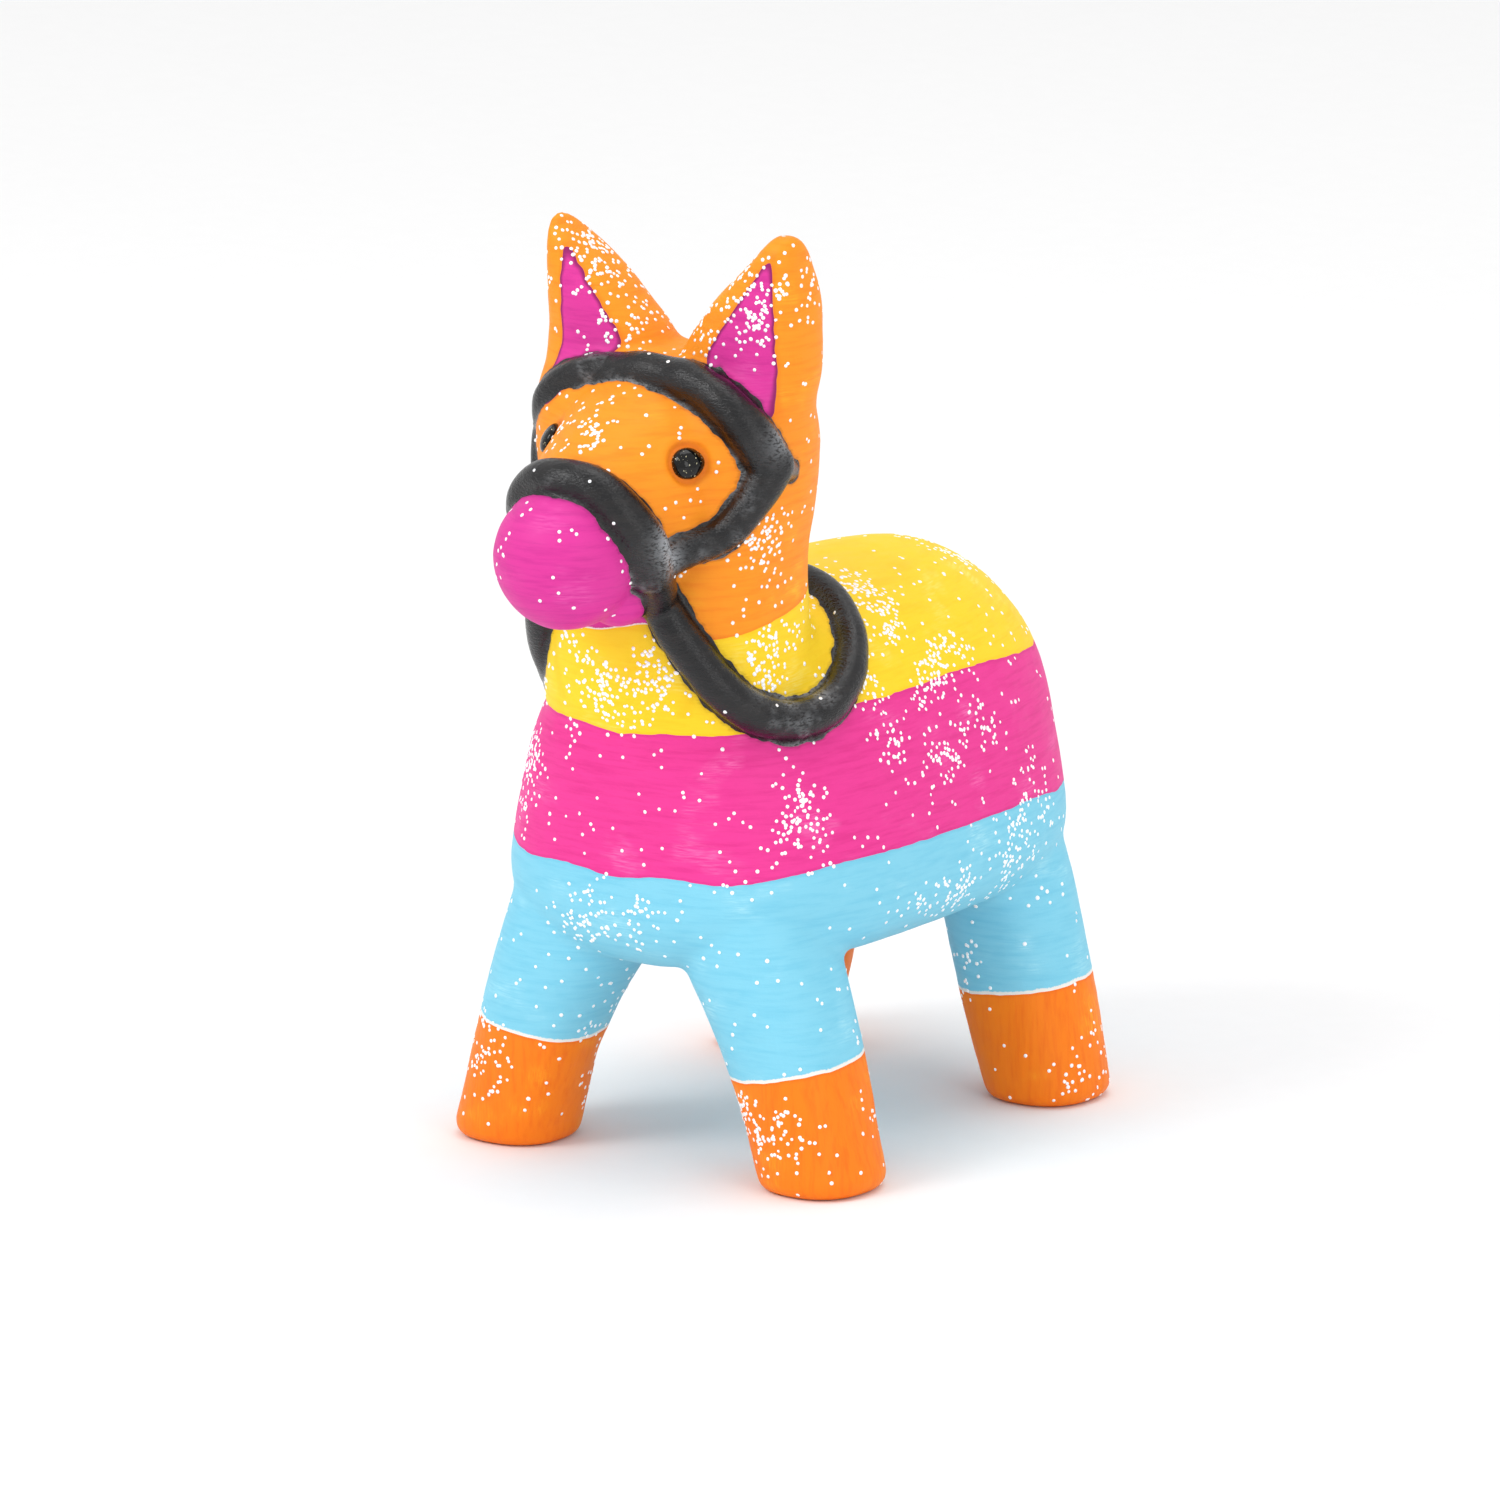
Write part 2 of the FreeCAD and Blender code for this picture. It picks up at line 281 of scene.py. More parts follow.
# The arch between the front legs: how much lower it is, its middle, and how far the change reaches
ARCH_DROP = 0.9
ARCH = placed((-0.5, -20.0, 20.5))
ARCH_REACH = (7.0, 8.0, 4.0)
# The left-hand creases that are smoothed away, between neck and back and at the root of the ear
CREASES = [
    [(12.2, -13.5, 57.0), (13.6, -11.5, 46.0)],
    [(13.6, -18.5, 75.2), (12.6, -14.0, 75.8), (9.0, -10.5, 76.5)],
]
CREASE_REACH = 4.0
CREASE_ROUNDS = 60


def casting_skin():
    """The outside of the whole casting, its joints filled in and softened as slip and clay leave them."""
    low, high = belly_low + STOPPER_LOW, belly_low + STOPPER_HIGH
    stopper = cylinder(DRAIN_RADIUS + STOPPER_MARGIN, low, high, DRAIN)
    points, faces = joined([cad_skin(CASTING), stopper, ball(JAW, JAW_RADIUS)])
    points, faces = outer_skin(*remeshed(points, faces))
    points = smoothed(points, faces, 3)
    swollen = points + normals_of(points, faces) * FILLET
    points, faces = outer_skin(*remeshed(swollen, faces))
    points = smoothed(points, faces, 5)
    points = points - normals_of(points, faces) * FILLET
    points = smoothed(points, faces, 3)
    return eased(slimmed(points), faces), faces


def slimmed(points):
    """The inner sides of the front legs set back, and the arch between them lowered."""
    x, y, z = points.T
    level = np.sin(math.pi * np.clip((z - SLIM_LOW) / SLIM_TALL, 0, 1)) * (y < AFT)
    moved = points.copy()
    for hand, side in SIDES.items():
        low, high = box("hoof_front_" + hand)
        inwards = np.array(SLIM_DIRECTION) * -side
        share = np.clip((points[:, :2] - (low + high)[:2] / 2) @ inwards / SLIM_WIDTH, 0, 1) * (x * side > 0)
        moved[:, :2] -= inwards * (share * level * LEG_SLIMMING[hand])[:, None]
    arch = np.linalg.norm((points - ARCH) / ARCH_REACH, axis=1)
    moved[:, 2] -= ARCH_DROP * np.exp(-arch ** 2)
    return moved


def eased(points, faces):
    """The creases between neck and back, and at the root of each ear, smoothed away."""
    mean = neighbour_mean(faces, len(points))
    gap = np.full(len(points), np.inf)
    for side in SIDES.values():
        for crease in CREASES:
            line = placed(crease) * (side, 1, 1)
            gap = np.minimum(gap, distance_to_line(points, line, np.zeros(len(line)))[0])
    share = np.exp(-(gap / CREASE_REACH) ** 2)[:, None]
    for _ in range(CREASE_ROUNDS):
        points = points + share * 0.5 * (mean(points) - points)
    return points


# ---------------------------------------------------------------- ropes

# Routes near the casting, about the feet. The left-hand side is the one with the larger x.
NOSE = [(0, -36.8, 70.0), (3.4, -36.2, 69.4), (5.9, -35.4, 67.2), (7.4, -33.8, 64.2), (7.2, -32.3, 61.0)]
BROW = [(0, -23.9, 78.0), (3.8, -24.0, 77.8), (7.6, -24.3, 76.9), (11.0, -24.2, 74.6), (13.1, -21.9, 70.0)]
CHEEK = [(13.1, -21.9, 70.0), (11.9, -23.8, 66.4), (9.8, -26.0, 63.4), (7.4, -31.0, 61.8)]
CORNER = [(13.1, -21.9, 70.0), (13.3, -20.3, 69.4), (13.4, -18.9, 68.9)]
REAR_LOOP = [
    (13.6, -19.6, 44.9), (14.5, -15.6, 45.2), (14.3, -11.8, 46.8), (12.9, -8.4, 49.0), (9.8, -5.2, 51.5),
    (5.2, -2.7, 53.5), (0, -1.4, 54.3),
]
REIN = [
    (7.2, -32.3, 61.0), (5.4, -29.4, 57.6), (6.2, -28.0, 54.6), (8.1, -27.0, 51.6), (10.0, -25.6, 48.6),
    (11.9, -23.2, 46.2), *REAR_LOOP,
]
RIGHT_REIN = [
    (7.2, -32.3, 61.0), (8.7, -29.6, 57.4), (10.3, -27.0, 53.6), (11.5, -25.0, 50.2), (12.2, -23.6, 47.6),
    (13.0, -21.8, 46.0), *REAR_LOOP,
]
# How far out the right-hand routes run, as a share of the left-hand ones
RIGHT_SHARE = 0.95
HEAD_MIDDLE = placed((0, -20.0, 66.0))
NECK_MIDDLE = placed((0, -18.0, 44.0))


def mirrored(route):
    return [(-RIGHT_SHARE * x, y, z) for x, y, z in route]


def laid(tree, route, middle, radii, lifts, steps=8):
    """Where a rope's middle line and radius run along route, on the casting that tree holds.

    radii and lifts, how far the middle stands off as a share of the radius, are spread evenly along the rope.
    """
    line = spline(placed(route), steps)
    share = np.linspace(0, 1, len(line))
    radius = np.interp(share, np.linspace(0, 1, len(radii)), radii)
    lifted = np.interp(share, np.linspace(0, 1, len(lifts)), lifts)
    made = []
    for point, r, lift in zip(line, radius, lifted):
        outwards = (point - middle) / np.linalg.norm(point - middle)
        foot, normal, _, _ = tree.find_nearest(Vector(point + outwards * 0.4))
        made.append(np.array(foot) + np.array(normal) * lift * r)
    made = np.array(made)
    for _ in range(4):
        made[1:-1] = made[1:-1] * 0.5 + (made[2:] + made[:-2]) * 0.25
    return made, radius


# The rings of a rope's domed end: how far out each is, as a share of the radius
DOME = (1.0, 0.92, 0.7, 0.38)


def dome_girth(share):
    return math.sqrt(1 - (share * 0.999) ** 2)


def tube(line, radius, count=20):
    """A closed tube round a line, with domed ends."""
    along = np.gradient(line, axis=0)
    along /= np.linalg.norm(along, axis=1, keepdims=True)
    stations = []
    for share in DOME:
        middle = line[0] - along[0] * radius[0] * share
        stations.append((middle, along[0], radius[0] * dome_girth(share)))
    stations += list(zip(line, along, radius))
    for share in DOME[::-1]:
        middle = line[-1] + along[-1] * radius[-1] * share
        stations.append((middle, along[-1], radius[-1] * dome_girth(share)))
    side = np.cross(along[0], (0.3, 0.2, 1.0))
    angle = angles(count)
    points = []
    for middle, direction, r in stations:
        side = side - direction * side.dot(direction)
        side /= np.linalg.norm(side)
        up = np.cross(direction, side)
        points += [middle + (side * math.cos(a) + up * math.sin(a)) * r for a in angle]
    return np.array(points), ring_faces(len(stations), count)


def ropes_on(points, faces):
    """Every rope as (name, middle line, radii). The browband's left-hand corner is a second rope."""
    tree = BVHTree.FromPolygons(points.tolist(), faces.tolist())
    nose = mirrored(NOSE[:0:-1]) + NOSE
    brow = mirrored(BROW[:0:-1]) + BROW
    nose_radii = [1.5, 1.6, 1.8, 1.95, 2.0, 2.15, 2.35, 2.45, 2.3]
    brow_radii = [1.4, 1.45, 1.6, 1.8, 1.95, 2.05, 2.15, 2.25, 2.4]
    rein_radii = [2.1, 2.0, 2.0, 2.0, 2.05, 2.0, 1.9, 1.8, 1.65, 1.5, 1.4, 1.3]
    right_rein_radii = [1.7, 1.6, 1.65, 1.65, 1.6, 1.6, 1.7, 1.7, 1.6, 1.5, 1.4, 1.3]
    right_rein_lifts = [0.4, 0.4, 0.35, 0, -0.5, -0.7, -0.4, 0, 0.2, 0.25, 0.25, 0.25, 0.25]
    made = {
        "noseband": laid(tree, nose, HEAD_MIDDLE, nose_radii, [-0.6, -0.2, 0, 0.05, 0.05]),
        "browband": laid(tree, brow, HEAD_MIDDLE, brow_radii, [-0.7, -0.25, 0, 0]),
        "cheek_strap_left": laid(tree, CHEEK, HEAD_MIDDLE, [2.3, 1.8, 1.6, 1.9], [0.1, 0.1]),
        "cheek_strap_right": laid(tree, mirrored(CHEEK), HEAD_MIDDLE, [1.4, 1.4, 1.4, 1.6], [-0.5, -0.2]),
        "rein_left": laid(tree, REIN, NECK_MIDDLE, rein_radii, [0.15, 0.25, 0.25]),
        "rein_right": laid(tree, mirrored(RIGHT_REIN), NECK_MIDDLE, right_rein_radii, right_rein_lifts),
    }
    ropes = [(name, line, radius) for name, (line, radius) in made.items()]
    corner = laid(tree, CORNER, HEAD_MIDDLE, [2.3, 1.0], [0, -0.2])
    ropes.append(("browband", *corner))
    return ropes


def distance_to_line(points, line, radius):
    """The distance from each point to the line, and the line's radius there."""
    best = np.full(len(points), np.inf)
    girth = np.zeros(len(points))
    for a, b, ra, rb in zip(line, line[1:], radius, radius[1:]):
        run = b - a
        t = np.clip((points - a) @ run / run.dot(run), 0, 1)
        gap = np.linalg.norm(points - a - t[:, None] * run, axis=1)
        nearer = gap < best
        best = np.where(nearer, gap, best)
        girth = np.where(nearer, ra + (rb - ra) * t, girth)
    return best, girth


# ---------------------------------------------------------------- colour borders

# Heights, and how far aft the muzzle's rear border is at each
MUZZLE_BORDER = [
    (53.0, -27.2), (55.0, -27.7), (57.6, -28.4), (61.0, -32.3), (64.2, -33.8), (67.2, -35.4), (70.0, -36.8),
]
LINING = {
    "left": [(5.6, 79.6), (13.3, 73.8), (13.1, 90.4)],
    "right": [(-3.8, 79.4), (-10.5, 73.0), (-11.0, 88.8)],
}
CORNER_SHARPNESS = 2.2
LINING_DEPTH = 3.0
EAR_BASE = 79.2
# How far the black paint runs past the ropes
BLACK_SLOP = 0.36
# Each hoof's border, in the order of LEGS: its rise per mm in x and y, and how far it is below the CAD one
HOOF_TILTS = [(0.17, 0.05), (-0.16, 0.0), (0.10, 0.06), (-0.06, 0.05)]
HOOF_DROPS = [1.1, 0.0, 0.7, 0.2]
# The legs' roots: their height, and how fast it falls past a distance from the leg's middle
LEG_ROOT = 24.5
LEG_ROOT_FALL = 3.0
LEG_ROOT_WIDTH = 7.8
# How far each band's top rises above the CAD one: everywhere, at the front, on the flanks and at the rear
BLUE_RISES = (0.2, -0.8, 0.4, -0.5)
PINK_RISES = (0.9, -1.6, -0.2, -1.3)
# The yellow band's top: its rise at the throat, how steeply it runs there, and how much higher it bulges
THROAT_Y = -26.0
YELLOW_RISE, YELLOW_SLOPE, THROAT_BULGE = -1.2, 0.18, 1.6
DRAIN_DEPTH = 3.0


def border_height(points, nodes, tilts):
    """For the leg nearest each point: its border's height, how far off its middle is, and its number."""
    height = np.zeros(len(points))
    nearest = np.full(len(points), np.inf)
    index = np.zeros(len(points), int)
    for i, (node, tilt) in enumerate(zip(nodes, tilts)):
        low, high = box(node)
        middle = (low + high) / 2
        away = points[:, :2] - middle[:2]
        gap = np.linalg.norm(away, axis=1)
        level = high[2] + away @ np.array(tilt)
        closer = gap < nearest
        nearest = np.where(closer, gap, nearest)
        height = np.where(closer, level, height)
        index = np.where(closer, i, index)
    return height, nearest, index


def band_top(height, rises, forward, flank, aft):
    everywhere, front, side, rear = rises
    return height + everywhere + front * forward + side * flank + rear * aft


def triangle_distance(x, z, corners):
    """Signed distance to a triangle, negative inside, its corners rounded off."""
    gaps = []
    middle = np.mean(corners, axis=0)
    for a, b in zip(corners, corners[1:] + corners[:1]):
        normal = np.array([b[1] - a[1], a[0] - b[0]])
        normal = normal / np.linalg.norm(normal)
        if normal.dot(middle - a) > 0:
            normal = -normal
        gaps.append((x - a[0]) * normal[0] + (z - a[1]) * normal[1])
    return np.logaddexp.reduce(np.array(gaps) * CORNER_SHARPNESS, axis=0) / CORNER_SHARPNESS


def fields_of(points, ropes):
    """For each point, how far it is past each border: one column for each border."""
    x, y, z = points.T
    flat = points * (1, 1, 0)
    wave = noise(flat, 6.0, 1) * 0.35 + noise(points, 1.6, 2) * 0.13 + noise(points, 0.7, 3) * 0.06
    made = {}
    gaps = []
    for _, line, radius in ropes:
        gap, girth = distance_to_line(points, line, radius)
        gaps.append(gap - girth)
    gaps = np.array(gaps)
    owner = np.array([rope_names.index(name) for name, _, _ in ropes])
    ragged = noise(points, 1.3, 4) * 0.2 + noise(points, 0.55, 5) * 0.14
    made["black"] = gaps.min(0) - BLACK_SLOP - ragged
    made["rope"] = owner[gaps.argmin(0)].astype(float)
    height, _, index = border_height(points, ["hoof_" + leg for leg in LEGS], HOOF_TILTS)
    made["hoof"] = z - height + np.array(HOOF_DROPS)[index] - wave * 0.7
    made["leg_index"] = index.astype(float)
    _, gap, _ = border_height(points, ["leg_" + leg for leg in LEGS], [(0, 0)] * len(LEGS))
    made["leg"] = z - (LEG_ROOT - LEG_ROOT_FALL * np.maximum(0, gap - LEG_ROOT_WIDTH))
    blue = box("belly_shell")[1][2]
    pink = box("middle_shell")[1][2]
    yellow = box("neck_shell")[1][2]
    forward = np.clip((-y - 12) / 12, 0, 1)
    flank = np.clip((np.abs(x) - 12) / 8, 0, 1)
    aft = np.clip((y - AFT - 6) / 16, 0, 1)
    made["blue"] = z - band_top(blue, BLUE_RISES, forward, flank * (1 - forward), aft) - wave * 0.8
    made["pink"] = z - band_top(pink, PINK_RISES, forward, flank, aft) - wave * 0.8
    behind = y - AFT - THROAT_Y
    throat = np.exp(-((x - 3) / 5) ** 2) * np.clip(-behind / 2, 0, 1)
    made["yellow"] = z - (yellow + YELLOW_RISE + YELLOW_SLOPE * behind + THROAT_BULGE * throat) - wave * 0.8
    low, high = box("neck_shell")
    made["joint"] = z - (low[2] + 0.26 * (y - low[1])) + 0.6
    made["nape"] = y - (high[1] + 0.3)
    heights, rears = np.array(MUZZLE_BORDER).T
    made["muzzle"] = y - (np.interp(z, heights, rears) + AFT) - wave * 0.5
    made["ear"] = z - EAR_BASE
    for hand in SIDES:
        inside = triangle_distance(x, z, LINING[hand]) + noise(points, 1.0, 6) * 0.12
        low, high = box("ear_" + hand)
        made["lining_" + hand] = np.maximum(inside, y - (low[1] + LINING_DEPTH))
    in_bore = np.maximum(np.hypot(x - DRAIN[0], y - DRAIN[1]) - DRAIN_RADIUS, z - belly_low - DRAIN_DEPTH)
    made["drain"] = -in_bore
    return made


EYE_RADIUS = 1.7
EYE_SHIFT = {"left": (0, 0, 0), "right": (1.2, -0.5, 0.3)}
EYE_HEIGHT = {"left": 1.0, "right": 0.7}
# The skin round an eye: how high the rim and how deep the groove, each's distance from the middle and width
EYE_RIM, EYE_RIM_AT, EYE_RIM_WIDE = 0.06, 2.7, 0.4
EYE_GROOVE, EYE_GROOVE_AT, EYE_GROOVE_WIDE = 0.2, 1.9, 0.25


def eye_gap(points):
    """How far each point is from the nearer eye's edge."""
    away = [np.linalg.norm(points - centre, axis=1) for centre in eyes.values()]
    return np.min(away, axis=0) - EYE_RADIUS


CUTS = ["black", "hoof", "leg", "blue", "pink", "yellow", "joint", "nape", "muzzle", "ear", "lining_left",
        "lining_right", "drain"]


def split(data, faces, column):
    """Cuts the triangles where column is 0. Returns data with a row for each new point, and the faces."""
    value = data[:, column]
    value = np.where(np.abs(value) < 1e-4, 1e-4, value)
    above = value > 0
    mixed = above[faces].any(1) & ~above[faces].all(1)
    cut = faces[mixed]
    ones = above[cut].sum(1) == 1
    lone = np.where(ones, above[cut].argmax(1), above[cut].argmin(1))
    rows = np.arange(len(cut))
    tip, p, q = cut[rows, lone], cut[rows, (lone + 1) % 3], cut[rows, (lone + 2) % 3]
    edges = np.sort(np.concatenate([np.stack([tip, p], 1), np.stack([tip, q], 1)]), axis=1)
    unique, index = np.unique(edges, axis=0, return_inverse=True)
    index = index.reshape(-1)
    share = (value[unique[:, 0]] / (value[unique[:, 0]] - value[unique[:, 1]]))[:, None]
    new = data[unique[:, 0]] * (1 - share) + data[unique[:, 1]] * share
    new[:, column] = 0
    m1 = index[:len(cut)] + len(data)
    m2 = index[len(cut):] + len(data)
    made = [faces[~mixed], np.stack([tip, m1, m2], 1), np.stack([m1, p, q], 1), np.stack([m1, q, m2], 1)]
    return np.concatenate([data, new]), np.concatenate(made)


# ---------------------------------------------------------------- pieces

collection = bpy.context.scene.collection


def piece(name, mesh, material, nodes=()):
    obj = bpy.data.objects.new(name, mesh)
    collection.objects.link(obj)
    mesh.materials.append(material)
    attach(obj, "root")
    if nodes:
        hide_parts(*nodes)


def shell_mesh(name, points, normals, faces, border, thickness):
    """A closed shell: the skin, a copy set in by thickness, and a rim round each of the skin's edges."""
    inner = points - normals * thickness
    count = len(points)
    directed = np.concatenate([faces[:, [0, 1]], faces[:, [1, 2]], faces[:, [2, 0]]])
    key = np.minimum(directed[:, 0], directed[:, 1]) * np.int64(count) + directed.max(1)
    _, index, times = np.unique(key, return_index=True, return_counts=True)
    rim = directed[index[times == 1]]
    rim_a, rim_b = rim[:, 0], rim[:, 1]
    walls = np.concatenate([
        np.stack([rim_b, rim_a, rim_a + count], 1),
        np.stack([rim_b, rim_a + count, rim_b + count], 1),
    ])
    all_points = np.concatenate([points, inner])
    all_faces = np.concatenate([faces, faces[:, ::-1] + count, walls])
    mesh = mesh_of(name, all_points * MM, all_faces)
    mesh.polygons.foreach_set("use_smooth", np.ones(len(mesh.polygons), bool))
    for label, values in border.items():
        attribute = mesh.attributes.new(label, "FLOAT", "POINT")
        attribute.data.foreach_set("value", np.concatenate([values, values]).astype(np.float32))
    corner_normals = np.concatenate([normals[faces].reshape(-1, 3), -normals[faces[:, ::-1]].reshape(-1, 3)])
    wall_normal = np.cross(
        all_points[walls[:, 1]] - all_points[walls[:, 0]], all_points[walls[:, 2]] - all_points[walls[:, 0]])
    wall_normal /= np.maximum(np.linalg.norm(wall_normal, axis=1, keepdims=True), 1e-12)
    corner_normals = np.concatenate([corner_normals, np.repeat(wall_normal, 3, axis=0)])
    if len(mesh.loops) == len(corner_normals):
        mesh.normals_split_custom_set(corner_normals.astype(np.float32).tolist())
    return mesh


# ---------------------------------------------------------------- materials

class Nodes:
    """Short calls for building a node material."""

    def __init__(self, name):
        self.material = bpy.data.materials.new(name)
        self.material.use_nodes = True
        self.tree = self.material.node_tree
        self.shader = self.tree.nodes["Principled BSDF"]
        self.place = self.add("ShaderNodeTexCoord").outputs["Object"]

    def add(self, kind, **settings):
        node = self.tree.nodes.new(kind)
        for key, value in settings.items():
            setattr(node, key, value)
        return node

    def put(self, socket, value):
        if isinstance(value, bpy.types.NodeSocket):
            self.tree.links.new(value, socket)
        else:
            socket.default_value = value

    def math(self, operation, a, b=0.0):
        node = self.add("ShaderNodeMath", operation=operation)
        self.put(node.inputs[0], a)
        self.put(node.inputs[1], b)
        return node.outputs[0]

    def noise(self, scale, detail=3.0, rough=0.5, seed=0.0):
        """Noise whose bumps are scale[axis] millimetres long."""
        mapping = self.add("ShaderNodeMapping")
        self.put(mapping.inputs["Vector"], self.place)
        self.put(mapping.inputs["Scale"], [1 / (MM * s) for s in scale])
        self.put(mapping.inputs["Location"], (seed, seed * 0.7, seed * 1.3))
        node = self.add("ShaderNodeTexNoise")
        self.put(node.inputs["Vector"], mapping.outputs[0])
        self.put(node.inputs["Scale"], 1.0)
        self.put(node.inputs["Detail"], detail)
        self.put(node.inputs["Roughness"], rough)
        return node.outputs["Fac"]

    def step(self, value, low, high):
        """0 below low, 1 above high, and smooth between them."""
        node = self.add("ShaderNodeMapRange", interpolation_type="SMOOTHSTEP")
        self.put(node.inputs["Value"], value)
        self.put(node.inputs["From Min"], low)
        self.put(node.inputs["From Max"], high)
        return node.outputs["Result"]

    def mix(self, share, a, b):
        node = self.add("ShaderNodeMix", data_type="RGBA")
        self.put(node.inputs["Factor"], share)
        self.put(node.inputs["A"], a if isinstance(a, bpy.types.NodeSocket) else (*a, 1))
        self.put(node.inputs["B"], b if isinstance(b, bpy.types.NodeSocket) else (*b, 1))
        return node.outputs["Result"]

    def attribute(self, name):
        return self.add("ShaderNodeAttribute", attribute_name=name).outputs["Fac"]

    def bump(self, height, distance):
        """A bump whose height of 1 is distance millimetres."""
        node = self.add("ShaderNodeBump")
        self.put(node.inputs["Height"], height)
        self.put(node.inputs["Strength"], 1.0)
        self.put(node.inputs["Distance"], distance * MM)
        return node.outputs["Normal"]

    def done(self, colour, roughness, normal, **extra):
        self.put(self.shader.inputs["Base Color"], colour)
        self.put(self.shader.inputs["Roughness"], roughness)
        self.put(self.shader.inputs["Normal"], normal)
        for key, value in extra.items():
            self.put(self.shader.inputs[key.replace("_", " ")], value)
        return self.material


BISQUE = (0.86, 0.83, 0.78)


def paint(name, base, deep, pale, gap=0.0, seed=0.0, upright=False, line=0.45, shade=1.0):
    """Brushed acrylic on bisque: streaks, thin patches, a darker line where it pools at a border.

    gap is how wide the bare bisque at a border is in mm, line how strong the darker line is, shade its tone.
    """
    n = Nodes(name)
    along, across = (0.6, 6.0) if upright else (5.0, 0.5)
    streak = n.noise((along, along, across), 4, 0.6, seed + 3.1)
    fine = n.noise((along * 0.36, along * 0.36, across * 0.34), 3, 0.6, seed + 5.7)
    cloud = n.noise((7.0, 7.0, 5.0), 3, 0.5, seed + 9.2)
    grain = n.noise((0.25, 0.25, 0.25), 2, 0.6, seed)
    colour = n.mix(n.math("MULTIPLY", n.step(streak, 0.4, 0.75), 0.5), base, deep)
    colour = n.mix(n.math("MULTIPLY", n.step(cloud, 0.55, 0.8), n.step(fine, 0.35, 0.7)), colour, pale)
    border = n.attribute("border")
    pooled = n.math("SUBTRACT", 1.0, n.step(border, 0.05, 0.42))
    colour = n.mix(n.math("MULTIPLY", pooled, line), colour, [c * shade for c in deep])
    ringed = n.math("SUBTRACT", 1.0, n.step(n.attribute("eye"), 0.1, 0.75))
    colour = n.mix(n.math("MULTIPLY", ringed, 0.75), colour, [c * 0.8 for c in deep])
    black = n.attribute("black")
    smudge = n.math("SUBTRACT", 1.0, n.step(n.math("ADD", black, n.math("MULTIPLY", fine, 0.5)), 0.2, 0.62))
    colour = n.mix(n.math("MULTIPLY", smudge, 0.5), colour, [c * 0.35 for c in deep])
    if gap:
        ragged = n.math("ADD", border, n.math("MULTIPLY", grain, 0.3))
        bare = n.math("SUBTRACT", 1.0, n.step(ragged, gap, gap + 0.12))
        colour = n.mix(bare, colour, BISQUE)
    height = n.math("ADD", n.math("MULTIPLY", streak, 0.6), n.math("MULTIPLY", fine, 0.35))
    normal = n.bump(n.math("ADD", height, n.math("MULTIPLY", grain, 0.3)), 0.035)
    rough = n.math("ADD", 0.42, n.math("MULTIPLY", fine, 0.2))
    return n.done(colour, rough, normal, Specular_IOR_Level=0.25)


def black_paint():
    """Satin black over clay ropes: soft brown-grey thin spots, and chalky scuffs on the ridges and edges, the
    pale spots on the ridges also a painted highlight.
    """
    n = Nodes("black_rope")
    streak = n.noise((3.0, 3.0, 0.7), 4, 0.6, 2.0)
    fine = n.noise((0.5, 0.5, 0.2), 3, 0.6, 4.0)
    cloud = n.noise((5.0, 5.0, 4.0), 3, 0.5, 7.0)
    grain = n.noise((0.22, 0.22, 0.22), 2, 0.6, 1.0)
    colour = n.mix(n.step(streak, 0.4, 0.75), (0.004, 0.004, 0.005), (0.013, 0.011, 0.011))
    scuffed = n.math("MULTIPLY", n.step(cloud, 0.62, 0.78), n.step(fine, 0.5, 0.72))
    colour = n.mix(n.math("MULTIPLY", scuffed, 0.16), colour, (0.30, 0.28, 0.27))
    # Pale grey where the black is chalky at its edges, and on the crests a painted highlight
    chalk_and_highlight = n.math("MULTIPLY", n.attribute("chalk_and_highlight"), n.step(fine, 0.34, 0.56))
    colour = n.mix(chalk_and_highlight, colour, (0.50, 0.52, 0.55))
    normal = n.bump(n.math("ADD", n.math("MULTIPLY", fine, 0.5), n.math("MULTIPLY", grain, 0.2)), 0.19)
    rough = n.math("ADD", 0.06, n.math("MULTIPLY", streak, 0.28))
    return n.done(colour, rough, normal, Specular_IOR_Level=0.42)


def eye_gloss():
    n = Nodes("eye_gloss")
    speck = n.step(n.noise((0.2, 0.2, 0.2), 1, 0.4, 3.0), 0.68, 0.74)
    colour = n.mix(speck, (0.003, 0.003, 0.003), (0.75, 0.7, 0.45))
    normal = n.bump(n.noise((0.9, 0.9, 0.9), 2, 0.5, 8.0), 0.1)
    return n.done(colour, 0.07, normal, Specular_IOR_Level=0.35)


def bisque():
    n = Nodes("bare_bisque")
    grain = n.noise((0.3, 0.3, 0.3), 3, 0.6, 0.0)
    colour = n.mix(n.step(grain, 0.3, 0.7), BISQUE, (0.74, 0.70, 0.64))
    return n.done(colour, 0.8, n.bump(grain, 0.05))


def glitter():
    n = Nodes("glitter")
    tint = n.noise((0.6, 0.6, 0.6), 1, 0.5, 0.0)
    colour = n.mix(n.step(tint, 0.35, 0.65), (1.0, 0.99, 0.97), (0.93, 0.96, 1.0))
    # The flakes glow a little: a painted glint, as if each caught the lamps
    n.put(n.shader.inputs["Emission Color"], (1, 1, 1, 1))
    n.put(n.shader.inputs["Emission Strength"], 0.12)
    return n.done(colour, 0.3, n.bump(tint, 0.01))


def rgb(r, g, b):
    """A colour as a screen shows it, from 0 to 255, in linear light."""
    return tuple(((c / 255 + 0.055) / 1.055) ** 2.4 for c in (r, g, b))


